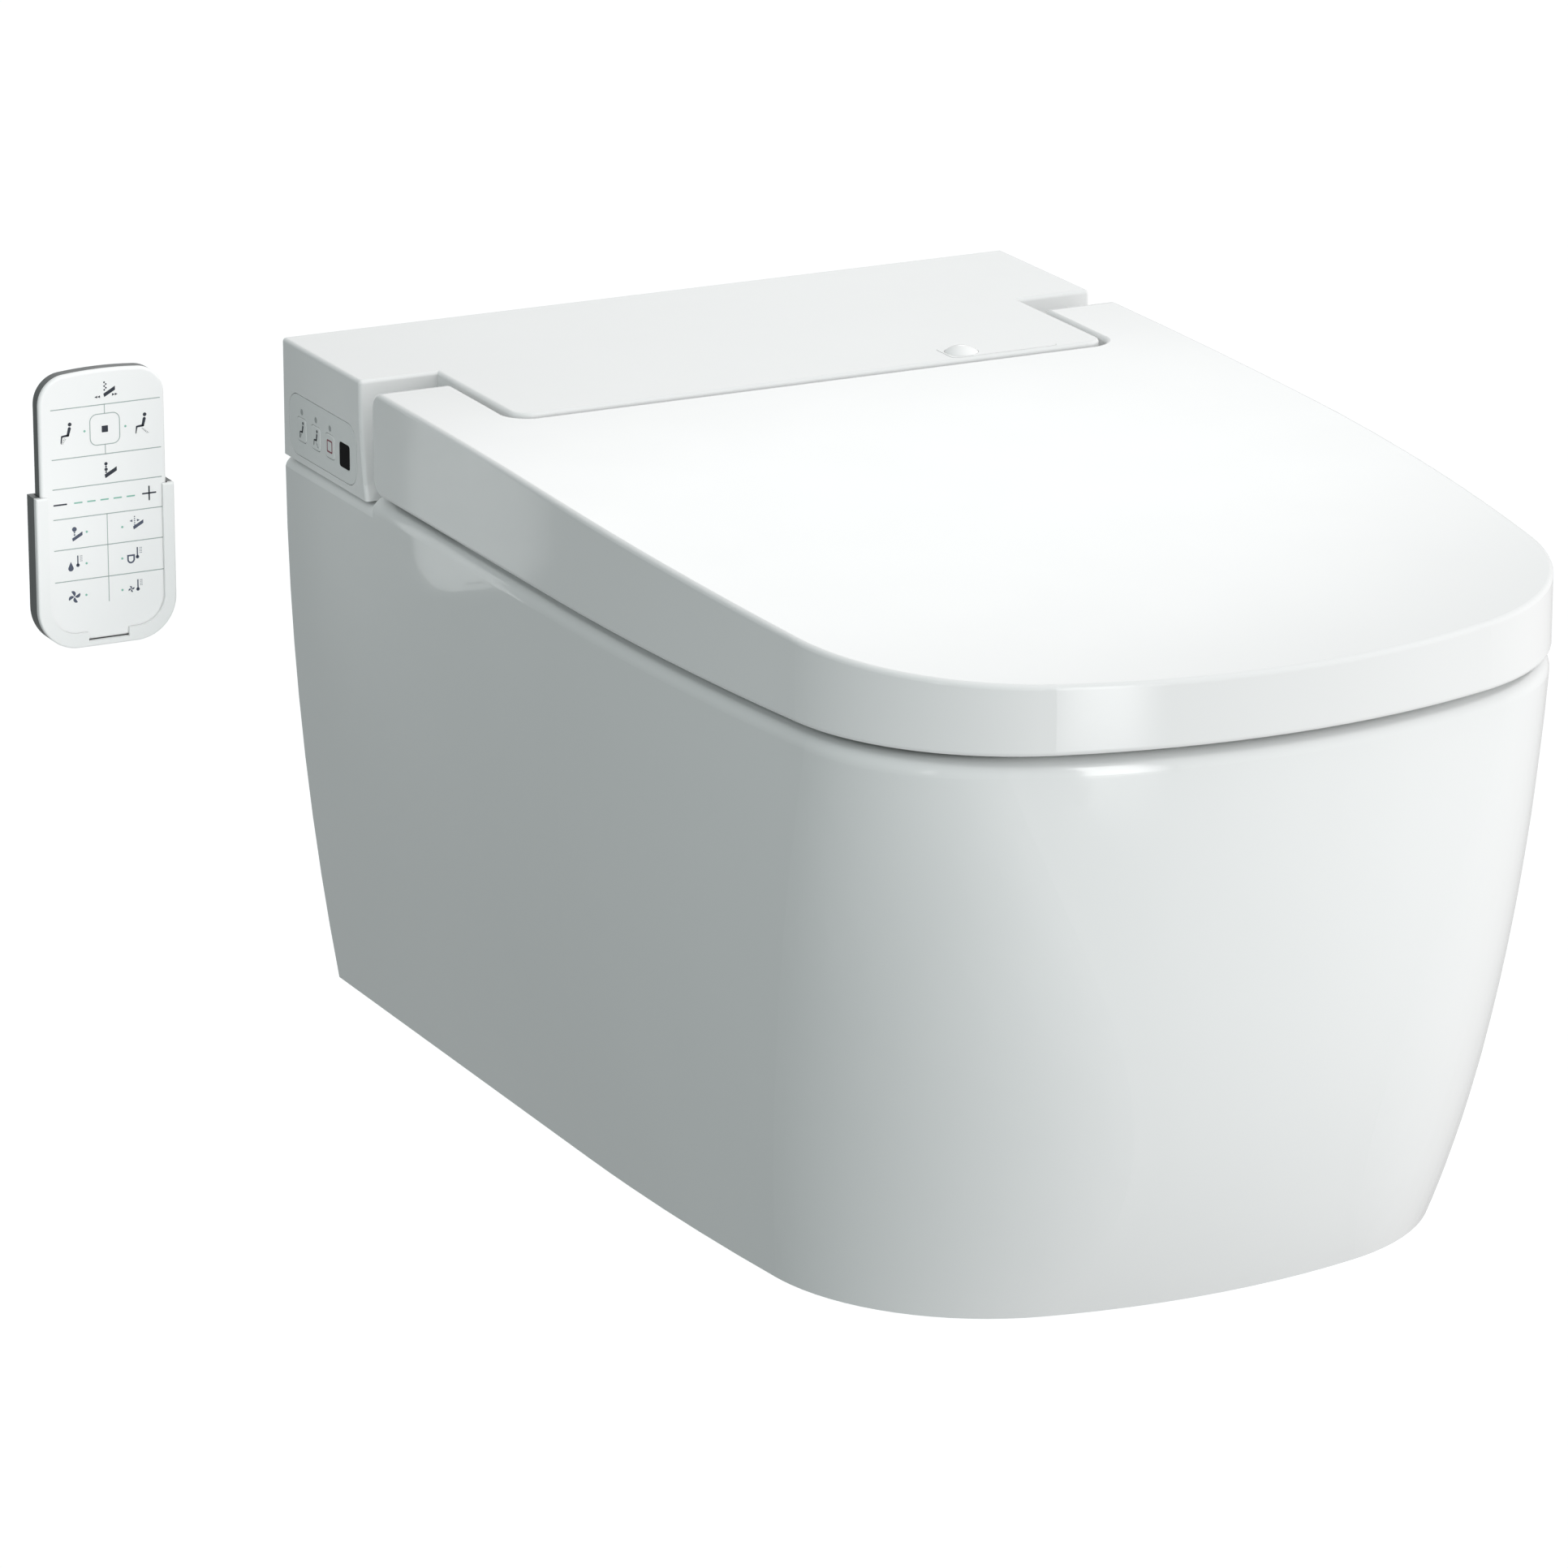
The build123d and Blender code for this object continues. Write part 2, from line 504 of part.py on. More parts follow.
with BuildPart() as lid:
    with BuildSketch(Plane.XY.offset(LID_BOTTOM)):
        add(outline(LID_PLAN))
    extrude(amount=60)
    extrude(lid_profile(0, LID_BOTTOM, 9, 8), amount=200, both=True, mode=Mode.INTERSECT)
    notch(LID_GAP, Mode.SUBTRACT)
    crown_face = lid.faces().filter_by(lambda face: face.center().Z > HINGE_Z).sort_by(SortBy.AREA)[-1]
    fillet(crown_face.edges().filter_by(lambda edge: edge.center().Y < ARM_BACK - 12), 2.2)
    add(lid_hollow.part, mode=Mode.SUBTRACT)
    lip_ends = (CUT_FRONT - LID_WALL - 1, CUT_FRONT + TONGUE_CORNER + LID_GAP + 1)
    slab(-ARM_INNER, ARM_INNER, *lip_ends, 0, LIP_BOTTOM, Mode.SUBTRACT)
    for side, sign in SIDES:
        for near, far in ((ARM_INNER + 1, 159.4), (175.6, 189.0)):
            ends = sorted((sign * near, sign * far))
            bar(HINGE_AXIS, *ends, 10.0)
            slab(*ends, HINGE_Y - 3, HINGE_Y + 3, HINGE_Z, TOP - 2)
    for side, sign in SIDES:
        bar(HINGE_AXIS, *sorted((sign * 150.0, sign * 185.0)), BORE_R, Mode.SUBTRACT)
save(lid, "lid")

with BuildPart() as lid_panel:
    with BuildSketch(Plane.XY.offset(TOP - 25.0)):
        add(outline(LID_PLAN, inset=LID_WALL + 0.3, back=-190.0))
    extrude(amount=2.0)
save(lid_panel, "lid_inner_panel")

# ---------------------------------------------------------------- seat
SEAT_TOP = TOP - 27.5
SEAT_SPLIT = TOP - 46.0
SEAT_BOTTOM = TOP - 49.5
SEAT_INSET = 5.5
SEAT_BACK = -184.0
HOLE = (106.0, 144.0, -390.0)    # half width, half length and centre of the seat's opening
EAR = (160.0, 175.0)
RING_BUMPERS = ((150.0, -300.0), (62.0, -571.0))
RIM_BUMPERS = ((162.0, -262.0), (78.0, -566.0))


def ring(height, outer, inner, back=SEAT_BACK):
    """The seat ring's plan at a height: inset from the lid's outline by outer, its hole grown by inner."""
    with BuildSketch(Plane.XY.offset(height)) as face:
        add(outline(LID_PLAN, inset=outer, back=back))
        with Locations((0, HOLE[2])):
            Ellipse(HOLE[0] + inner, HOLE[1] + inner, mode=Mode.SUBTRACT)
    return face.sketch


def pads(places, radius, low, high):
    """Round bumper pads at mirrored places."""
    for x, y in places:
        for _, sign in SIDES:
            bar(Plane(origin=(sign * x, y, 0)), low, high, radius)


with BuildPart() as seat_top:
    extrude(ring(SEAT_SPLIT, SEAT_INSET, 0), amount=SEAT_TOP - SEAT_SPLIT)
    upper = seat_top.faces().sort_by(Axis.Z)[-1]
    fillet(upper.inner_wires()[0].edges(), 9.0)
    rounded = seat_top.faces().sort_by(Axis.Z)[-1].outer_wire().edges()
    fillet(rounded.filter_by(lambda edge: edge.center().Y < SEAT_BACK - 1), 7.0)
    extrude(ring(SEAT_SPLIT, SEAT_INSET + 5, 5, SEAT_BACK - 12), amount=9, mode=Mode.SUBTRACT)
    for side, sign in SIDES:
        near = min(sign * EAR[0], sign * EAR[1])
        with BuildSketch(Plane.YZ.offset(near)) as ear:
            with Locations((HINGE_Y, HINGE_Z)):
                Circle(11.0)
            with Locations((SEAT_BACK - 5, TOP - 37.5)):
                Rectangle(12, 16)
            make_hull()
        extrude(ear.sketch, amount=EAR[1] - EAR[0])
    bar(HINGE_AXIS, -190, 190, BORE_R, Mode.SUBTRACT)
save(seat_top, "seat_top")

with BuildPart() as seat_base:
    extrude(ring(SEAT_BOTTOM, SEAT_INSET + 0.5, 0.5, SEAT_BACK - 0.5), amount=SEAT_SPLIT - SEAT_BOTTOM)
    fillet(seat_base.faces().sort_by(Axis.Z)[0].edges(), 1.2)
save(seat_base, "seat_base")

with BuildPart() as heater_foil:
    extrude(ring(SEAT_SPLIT + 8.2, SEAT_INSET + 9, 9, SEAT_BACK - 16), amount=0.5)
save(heater_foil, "seat_heater_foil")

with BuildPart() as seat_bumpers:
    pads(RIM_BUMPERS, 6.5, RIM + 0.3, SEAT_BOTTOM)
save(seat_bumpers, "seat_bumpers")

with BuildPart() as lid_bumpers:
    pads(RING_BUMPERS, 6.0, SEAT_TOP + 0.3, TOP - 25.0)
save(lid_bumpers, "lid_bumpers")

# ---------------------------------------------------------------- nozzle
TIP_LENGTH = 22.0
with BuildPart() as wand:
    bar(NOZZLE_PLANE, TIP_LENGTH, 152, NOZZLE_R)
    bar(NOZZLE_PLANE, TIP_LENGTH - 1, 148, NOZZLE_R - 1, Mode.SUBTRACT)
save(wand, "nozzle_wand")

with BuildPart() as tip:
    bar(NOZZLE_PLANE, 0, TIP_LENGTH, NOZZLE_R + 0.2)
    fillet(tip.faces().sort_by(Axis.Y)[0].edges(), 4.5)
    bar(NOZZLE_PLANE, TIP_LENGTH, TIP_LENGTH + 6, NOZZLE_R - 1.05)
    with Locations(NOZZLE_PLANE * Location((0, 6, 13.5))):
        Box(6.5, 2.6, 15, mode=Mode.SUBTRACT)
    for reach in (8.5, 12.5, 16.5):
        with Locations(NOZZLE_PLANE * Location((0, 3, reach), (90, 0, 0))):
            Cylinder(0.8, 6, mode=Mode.SUBTRACT)
save(tip, "nozzle_tip")

with BuildPart() as cradle:
    bar(NOZZLE_PLANE, 70, 130, 11.0)
    slab(-9, 9, -98, -50, FLOOR_TOP, TOP - 34)
    bar(NOZZLE_PLANE, 60, 140, NOZZLE_R + 0.35, Mode.SUBTRACT)
save(cradle, "nozzle_cradle")

with BuildPart() as nozzle_motor:
    bar(Plane(origin=(0, -62, TOP - 41), x_dir=(0, 1, 0), z_dir=(1, 0, 0)), 13.0, 33.0, 10.0)
    slab(11.2, 13.0, -76, -48, FLOOR_TOP, TOP - 30)
save(nozzle_motor, "nozzle_motor")

# ---------------------------------------------------------------- water circuit
with BuildPart() as heater:
    slab(-150, -84, -80, -12, FLOOR_TOP + 0.5, TOP - 9)
    fillet(heater.edges(), 6)
    bar(Plane(origin=(0, -68, TOP - 18), x_dir=(0, 1, 0), z_dir=(1, 0, 0)), -86, -76, 3.5)
    bar(Plane(origin=(0, -32, TOP - 40), x_dir=(0, 1, 0), z_dir=(1, 0, 0)), -86, -79.5, 3.5)
save(heater, "water_heater")

with BuildPart() as valve:
    slab(-79.5, -53, -52, -28, TOP - 50, TOP - 28)
    fillet(valve.edges(), 2)
    bar(Plane(origin=(-66.0, -40.0, 0)), TOP - 29, TOP - 12, 8.5)
save(valve, "solenoid_valve")

with BuildPart() as inlet:
    supply = wall_plane(*SUPPLY_AT)
    with BuildSketch(supply.offset(24.0)) as nut:
        RegularPolygon(12, 6)
    extrude(nut.sketch, amount=4)
    bar(supply, 2.0, 28.0, 8.3)
    bar(supply, 1.0, 27.0, 5.0, Mode.SUBTRACT)
save(inlet, "water_inlet")

with BuildPart() as pump:
    bar(Plane(origin=(-36, 0, TOP - 39), x_dir=(1, 0, 0), z_dir=(0, -1, 0)), 45, 92, 12.5)
    bar(Plane(origin=(-36, -68, 0)), TOP - 30, TOP - 24, 4.0)
    slab(-44, -28, -88, -50, FLOOR_TOP, TOP - 48)
save(pump, "water_pump")

with BuildPart() as hose:
    run = ((-76, -68, TOP - 18), (-36, -68, TOP - 18), (-36, -68, TOP - 24))
    with BuildLine() as hose_path:
        FilletPolyline(*run, radius=5)
    with BuildSketch(Plane(origin=run[0], x_dir=(0, 1, 0), z_dir=(1, 0, 0))) as hose_section:
        Circle(3.5)
        Circle(2.2, mode=Mode.SUBTRACT)
    sweep(hose_section.sketch, path=hose_path.line)
save(hose, "water_hose")

# ---------------------------------------------------------------- warm air dryer and filter
FAN_AXIS = Plane(origin=(68, -47, 0))
with BuildPart() as volute:
    bar(FAN_AXIS, TOP - 51, TOP - 18, 29.0)
    slab(DUCT[0], DUCT[1], -78, -47, TOP - 49, TOP - 30)
    bar(FAN_AXIS, TOP - 49, TOP - 20, 27.4, Mode.SUBTRACT)
    slab(DUCT[0] + 1.6, DUCT[1] - 1.6, -79, -47, TOP - 47.4, TOP - 31.6, Mode.SUBTRACT)
    bar(FAN_AXIS, TOP - 22, TOP - 17, 13.0, Mode.SUBTRACT)
save(volute, "blower_housing")

with BuildPart() as impeller:
    bar(FAN_AXIS, TOP - 47, TOP - 45.4, 24.0)
    bar(FAN_AXIS, TOP - 47, TOP - 24, 6.0)
    bar(FAN_AXIS, TOP - 25, TOP - 10, 2.0)
    with Locations(Location((68, -47, TOP - 38))):
        with PolarLocations(18.0, 11):
            Box(9.0, 1.2, 15.5, rotation=(0, 0, 35))
save(impeller, "blower_impeller")

with BuildPart() as fan_motor:
    bar(FAN_AXIS, TOP - 15.5, TOP - 4.5, 12.0)
    for turn in range(3):
        with Locations(FAN_AXIS * Location((0, 0, TOP - 14.75), (0, 0, 120 * turn)) * Location((17.5, 0, 0))):
            Box(13, 4, 1.5)
            with Locations((5.0, 0, -1.75)):
                Box(3, 4, 2.5)
    bar(FAN_AXIS, TOP - 16, TOP - 8, 2.05, Mode.SUBTRACT)
save(fan_motor, "blower_motor")

with BuildPart() as duct:
    slab(DUCT[0], DUCT[1], -170, -78.2, TOP - 49, TOP - 30)
    slab(DUCT[0] + 1.6, DUCT[1] - 1.6, -168.4, -77, TOP - 47.4, TOP - 31.6, Mode.SUBTRACT)
    slab(DUCT[0] + 1.6, DUCT[1] - 1.6, -168.4, -154, TOP - 50, TOP - 47, Mode.SUBTRACT)
save(duct, "air_duct")

with BuildPart() as carbon_filter:
    slab(102, 138, -80, -14, TOP - 51, TOP - 22)
    with Locations((120, -47, TOP - 36.5)):
        with GridLocations(6.0, 9.0, 5, 6):
            Box(4.2, 7.2, 40, mode=Mode.SUBTRACT)
save(carbon_filter, "carbon_filter")

# ---------------------------------------------------------------- electronics
BOARD_TOP = TOP - 12.4
CHIPS = ((-60, -130, 14, 14, 1.6), (-34, -140, 9, 12, 5), (-74, -150, 12, 8, 6))   # centre, size, height
with BuildPart() as supply_box:
    slab(144, 182, -82, -38, FLOOR_TOP + 0.5, TOP - 16)
    fillet(supply_box.edges().filter_by(Axis.Z), 3)
save(supply_box, "power_supply")

with BuildPart() as board:
    slab(-88, -18, -165, -106, TOP - 14, BOARD_TOP)
    for x, y, width, length, rise in CHIPS:
        sides = (x - width / 2, x + width / 2, y - length / 2, y + length / 2)
        slab(*sides, BOARD_TOP, BOARD_TOP + rise)
save(board, "control_board")

with BuildPart() as gland:
    cable = wall_plane(*GLAND_AT)
    bar(cable, 1.0, 31.0, GLAND_R)
    bar(cable, 3.6, 6.6, 11.0)
    bar(cable, 0, 32, 4.0, Mode.SUBTRACT)
save(gland, "cable_gland")

# ---------------------------------------------------------------- remote control and its wall holder
HOLDER_HALF = 34.4
HOLDER_DEPTH = 11.5
BEZEL_DEPTH = 8.6                # depth from the wall where the bezel meets the tray
HOLDER_TOP = TOP - 59.5
HOLDER_BOTTOM = TOP - 133.4
REMOTE_HALF = 31.2
REMOTE_TOP = TOP - 1.7
REMOTE_BOTTOM = TOP - 130.4
REMOTE_BACK = 2.2
REMOTE_SPLIT = 7.6
REMOTE_FACE = 9.6
NOTCH = (-295.2, -274.9)
POCKET = (REMOTE_HALF + 0.6, REMOTE_BOTTOM - 0.4, 14.5, HOLDER_TOP + 1)
SCREW_Z = (TOP - 78.0, TOP - 113.0)


def u_shape(depth, half, low, corner, high=HOLDER_TOP):
    """A face on a plane in front of the wall: straight sides, rounded bottom corners, flat top."""
    with BuildSketch(wall_plane(REMOTE_X, 0).offset(depth)) as face:
        with Locations((0, (low + high) / 2)):
            Rectangle(2 * half, high - low)
        fillet(face.vertices().group_by(Axis.Y)[0], corner)
    return face.sketch


def remote_shape(inset, start, depth, mode=Mode.ADD):
    """The remote control's outline moved in by inset, from start to depth in front of the wall."""
    with BuildSketch(wall_plane(REMOTE_X, 0).offset(start)) as face:
        half, low, high = REMOTE_HALF - inset, REMOTE_BOTTOM + inset, REMOTE_TOP - inset
        with BuildLine():
            Polyline((half, high - 2.5), (half, low), (-half, low), (-half, high - 2.5))
            ThreePointArc((-half, high - 2.5), (0, high), (half, high - 2.5))
        make_face()
        fillet(face.vertices(), 14.0 - inset)
    return extrude(face.sketch, amount=depth - start, mode=mode)


with BuildPart() as tray:
    extrude(u_shape(0, HOLDER_HALF, HOLDER_BOTTOM, 20.0), amount=BEZEL_DEPTH)
    extrude(u_shape(1.8, *POCKET), amount=10, mode=Mode.SUBTRACT)
    for z in SCREW_Z:
        bar(wall_plane(REMOTE_X, z), -1, 3, 2.2, Mode.SUBTRACT)
save(tray, "holder_tray")

with BuildPart() as bezel:
    extrude(u_shape(BEZEL_DEPTH, HOLDER_HALF, HOLDER_BOTTOM, 20.0), amount=HOLDER_DEPTH - BEZEL_DEPTH)
    outer_edges = bezel.faces().sort_by(Axis.Y)[0].edges()
    fillet(outer_edges, 1.0)
    extrude(u_shape(0, *POCKET), amount=REMOTE_FACE + 0.4, mode=Mode.SUBTRACT)
    extrude(u_shape(0, 28.6, TOP - 126.4, 14.0, HOLDER_TOP + 1), amount=20, mode=Mode.SUBTRACT)
    slab(*NOTCH, -20, -REMOTE_FACE, TOP - 130.6, TOP - 120, Mode.SUBTRACT)
save(bezel, "holder_bezel")

with BuildPart() as remote_back:
    remote_shape(0, REMOTE_BACK, REMOTE_SPLIT)
    remote_shape(2.2, REMOTE_BACK + 1.1, REMOTE_SPLIT, Mode.SUBTRACT)
    slab(REMOTE_X - 13, REMOTE_X + 13, -4, -1, TOP - 108, TOP - 82, Mode.SUBTRACT)
save(remote_back, "remote_back")

with BuildPart() as battery_door:
    slab(REMOTE_X - 12.8, REMOTE_X + 12.8, -REMOTE_BACK - 1.1, -REMOTE_BACK, TOP - 107.8, TOP - 82.2)
    fillet(battery_door.edges().filter_by(Axis.Y), 1.5)
    grip = (REMOTE_X - 6, REMOTE_X + 6, -REMOTE_BACK - 0.5, -REMOTE_BACK + 1)
    slab(*grip, TOP - 104.5, TOP - 103, Mode.SUBTRACT)
save(battery_door, "battery_door")

with BuildPart() as remote_front:
    remote_shape(0, REMOTE_SPLIT, REMOTE_FACE)
    fillet(remote_front.faces().sort_by(Axis.Y)[0].edges(), 1.6)
    remote_shape(2.2, REMOTE_SPLIT - 1, REMOTE_FACE - 1.2, Mode.SUBTRACT)
save(remote_front, "remote_front")

with BuildPart() as keymat:
    remote_shape(3.0, REMOTE_FACE - 1.9, REMOTE_FACE - 1.3)
save(keymat, "remote_key_mat")

with BuildPart() as remote_board:
    remote_shape(3.4, 6.5, 7.5)
save(remote_board, "remote_board")

with BuildPart() as battery:
    bar(wall_plane(REMOTE_X, TOP - 95.0), 3.35, 6.4, 10.0)
save(battery, "remote_battery")
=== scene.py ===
"""Looks of a wall-hung shower toilet with its remote control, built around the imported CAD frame."""

from math import atan2, cos, degrees, radians, sin

import bmesh
import bpy
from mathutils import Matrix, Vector


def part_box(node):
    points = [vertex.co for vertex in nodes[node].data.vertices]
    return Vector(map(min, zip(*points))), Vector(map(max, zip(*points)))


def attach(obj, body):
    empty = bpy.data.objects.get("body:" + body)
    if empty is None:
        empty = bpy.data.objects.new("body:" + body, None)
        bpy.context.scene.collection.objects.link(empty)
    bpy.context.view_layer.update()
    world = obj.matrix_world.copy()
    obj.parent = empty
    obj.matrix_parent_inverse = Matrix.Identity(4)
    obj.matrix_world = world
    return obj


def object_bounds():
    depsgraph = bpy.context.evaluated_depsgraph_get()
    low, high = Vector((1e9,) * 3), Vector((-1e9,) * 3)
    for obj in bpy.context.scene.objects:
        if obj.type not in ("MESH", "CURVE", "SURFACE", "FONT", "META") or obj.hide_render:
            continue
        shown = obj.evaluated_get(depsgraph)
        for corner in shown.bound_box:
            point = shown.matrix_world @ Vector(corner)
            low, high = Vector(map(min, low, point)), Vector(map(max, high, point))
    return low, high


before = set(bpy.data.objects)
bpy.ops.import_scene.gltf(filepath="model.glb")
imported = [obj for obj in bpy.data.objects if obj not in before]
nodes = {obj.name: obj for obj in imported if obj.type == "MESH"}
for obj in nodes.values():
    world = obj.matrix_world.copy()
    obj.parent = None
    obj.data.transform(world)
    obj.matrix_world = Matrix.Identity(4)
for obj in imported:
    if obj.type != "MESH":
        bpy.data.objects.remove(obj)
cad_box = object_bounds()
scene = bpy.context.scene

MM = 0.001

# Camera: a long lens from the front left, a little above.
CAMERA_PLACE = (-1.63297, -3.40437, 1.08948)
CAMERA_TURN = -26.594
CAMERA_DOWN = 17.632
CAMERA_LENS = 187.38
CAMERA_SENSOR = 36
CAMERA_REACH = 300                  # how far it sees

# Studio: soft light all round, brighter towards LIGHT_FROM, cooler on the shaded side, with a pale glow
# behind. The floor lies well below the hanging object.
LIGHT_LEVEL = 0.78
LIGHT_FROM = Vector((0.463, -0.332, 0.244))
COOL_SIDE = (0.9, 1.0, 1.0)
GLOW_FROM = Vector((0.443, 0.829, 0.343))
GLOW = 1.05
GLOW_EDGE = 0.994                   # cosine of the angle at which the glow has faded out
COOL_UNTIL = 0.3                    # direction along X from which the light is no longer cooler
DIMMEST_LIGHT = 0.02
LAMP_POWER = 27.0
LAMP_DISTANCE = 1.5
LAMP_REACH = 0.115
LAMP_ASIDE = 0.028
LAMP_BLEND = 0.35
LAMP_SOFTNESS = 0.12
FLOOR_DROP = 0.9
FLOOR_SIZE = 120.0
FLOOR_PAINT = 0.93
FLOOR_GLOW = 0.16

# The part of a pattern's range over which colour and roughness change.
PATTERN_LOW, PATTERN_HIGH = 0.15, 0.85


# ---------------------------------------------------------------- materials

def new_material(name, colour, roughness, **sockets):
    """A Principled material with its even values set on the shader's own sockets."""
    made = bpy.data.materials.new(name)
    made.use_nodes = True
    shader = made.node_tree.nodes["Principled BSDF"]
    shader.inputs["Base Color"].default_value = (*colour, 1)
    shader.inputs["Roughness"].default_value = roughness
    for socket, value in sockets.items():
        shader.inputs[socket.replace("_", " ")].default_value = value
    return made


def shader_of(material):
    return material.node_tree.nodes["Principled BSDF"]


def add_noise(material, scale, detail=2.0):
    """A noise pattern fixed to the piece, with its scale in waves per metre."""
    tree = material.node_tree
    place = tree.nodes.new("ShaderNodeTexCoord")
    noise = tree.nodes.new("ShaderNodeTexNoise")
    noise.inputs["Scale"].default_value = scale
    noise.inputs["Detail"].default_value = detail
    tree.links.new(place.outputs["Object"], noise.inputs["Vector"])
    return noise.outputs["Fac"]


def mottle(material, pattern, low, high):
    """The base colour drifts between two shades with the pattern."""
    tree = material.node_tree
    ramp = tree.nodes.new("ShaderNodeValToRGB")
    ramp.color_ramp.interpolation = "EASE"
    ramp.color_ramp.elements[0].position = PATTERN_LOW
    ramp.color_ramp.elements[0].color = (*low, 1)
    ramp.color_ramp.elements[1].position = PATTERN_HIGH
    ramp.color_ramp.elements[1].color = (*high, 1)
    tree.links.new(pattern, ramp.inputs["Fac"])
    tree.links.new(ramp.outputs["Color"], shader_of(material).inputs["Base Color"])


def vary_roughness(material, pattern, low, high):
    tree = material.node_tree
    span = tree.nodes.new("ShaderNodeMapRange")
    span.inputs["From Min"].default_value = PATTERN_LOW
    span.inputs["From Max"].default_value = PATTERN_HIGH
    span.inputs["To Min"].default_value = low
    span.inputs["To Max"].default_value = high
    tree.links.new(pattern, span.inputs["Value"])
    tree.links.new(span.outputs["Result"], shader_of(material).inputs["Roughness"])


def raise_surface(material, pattern, height):
    """Bump of that height in metres, laid over any bump that is already there."""
    tree = material.node_tree
    bump = tree.nodes.new("ShaderNodeBump")
    bump.inputs["Distance"].default_value = height
    bump.inputs["Strength"].default_value = 1.0
    tree.links.new(pattern, bump.inputs["Height"])
    normal = shader_of(material).inputs["Normal"]
    if normal.links:
        tree.links.new(normal.links[0].from_socket, bump.inputs["Normal"])
    tree.links.new(bump.outputs["Normal"], normal)


def moulded(name, colour, roughness, grain_scale=2600.0, grain_height=0.000006, **sockets):
    """Injection-moulded plastic: fine spark grain, a slow change of shade and of polish."""
    made = new_material(name, colour, roughness, **sockets)
    shade = tuple(c * 0.985 for c in colour)
    mottle(made, add_noise(made, 9.0), shade, colour)
    vary_roughness(made, add_noise(made, 22.0, 3.0), roughness * 0.88, roughness * 1.12)
    raise_surface(made, add_noise(made, grain_scale, 1.0), grain_height)
    return made


def glazed_ceramic():
    """Vitreous china: hard clear glaze over white clay, with the slow waves that a fired glaze has."""
    made = new_material("glazed_ceramic", (0.85, 0.86, 0.857), 0.12, IOR=1.52,
                        Coat_Weight=0.55, Coat_Roughness=0.03, Coat_IOR=1.5)
    mottle(made, add_noise(made, 6.0, 3.0), (0.838, 0.848, 0.845), (0.858, 0.866, 0.863))
    vary_roughness(made, add_noise(made, 35.0, 4.0), 0.09, 0.15)
    raise_surface(made, add_noise(made, 13.0, 1.0), 0.00007)
    raise_surface(made, add_noise(made, 900.0, 2.0), 0.000003)
    return made


def machined(name, colour, roughness, brush=(40.0, 1600.0, 1600.0)):
    """Metal with fine tool marks that run along X."""
    made = new_material(name, colour, roughness, Metallic=1.0)
    tree = made.node_tree
    place = tree.nodes.new("ShaderNodeTexCoord")
    stretch = tree.nodes.new("ShaderNodeMapping")
    stretch.inputs["Scale"].default_value = brush
    marks = tree.nodes.new("ShaderNodeTexNoise")
    marks.inputs["Scale"].default_value = 1.0
    marks.inputs["Detail"].default_value = 3.0
    tree.links.new(place.outputs["Object"], stretch.inputs["Vector"])
    tree.links.new(stretch.outputs["Vector"], marks.inputs["Vector"])
    raise_surface(made, marks.outputs["Fac"], 0.00001)
    vary_roughness(made, marks.outputs["Fac"], roughness * 0.7, roughness * 1.3)
    mottle(made, add_noise(made, 60.0), tuple(c * 0.9 for c in colour), colour)
    return made


def soft_rubber():
    made = new_material("soft_rubber", (0.05, 0.052, 0.055), 0.62, Sheen_Weight=0.15)
    mottle(made, add_noise(made, 300.0), (0.04, 0.042, 0.045), (0.07, 0.072, 0.075))
    raise_surface(made, add_noise(made, 1800.0, 3.0), 0.00002)
    return made


def granular_carbon():
    """Activated-carbon block: packed grains with dark gaps."""
    made = new_material("granular_carbon", (0.03, 0.03, 0.032), 0.85)
    tree = made.node_tree
    place = tree.nodes.new("ShaderNodeTexCoord")
    grains = tree.nodes.new("ShaderNodeTexVoronoi")
    grains.inputs["Scale"].default_value = 700.0
    tree.links.new(place.outputs["Object"], grains.inputs["Vector"])
    mottle(made, grains.outputs["Distance"], (0.012, 0.012, 0.013), (0.07, 0.07, 0.072))
    raise_surface(made, grains.outputs["Distance"], 0.0006)
    return made


def circuit_board():
    """Green solder mask with rows of copper tracks showing through."""
    made = new_material("circuit_board", (0.02, 0.17, 0.08), 0.35, Coat_Weight=0.4)
    tree = made.node_tree
    place = tree.nodes.new("ShaderNodeTexCoord")
    tracks = tree.nodes.new("ShaderNodeTexBrick")
    tracks.inputs["Scale"].default_value = 260.0
    tracks.inputs["Mortar Size"].default_value = 0.06
    tracks.inputs["Color1"].default_value = (0.015, 0.14, 0.06, 1)
    tracks.inputs["Color2"].default_value = (0.02, 0.17, 0.08, 1)
    tracks.inputs["Mortar"].default_value = (0.05, 0.30, 0.13, 1)
    tree.links.new(place.outputs["Object"], tracks.inputs["Vector"])
    tree.links.new(tracks.outputs["Color"], shader_of(made).inputs["Base Color"])
    raise_surface(made, tracks.outputs["Fac"], 0.00003)
    return made


def printed_ink(name, colour):
    """Screen-printed ink: matt, a little uneven in its coverage."""
    made = new_material(name, colour, 0.5)
    mottle(made, add_noise(made, 1500.0, 3.0), tuple(c * 0.88 for c in colour), colour)
    raise_surface(made, add_noise(made, 4000.0), 0.000004)
    return made


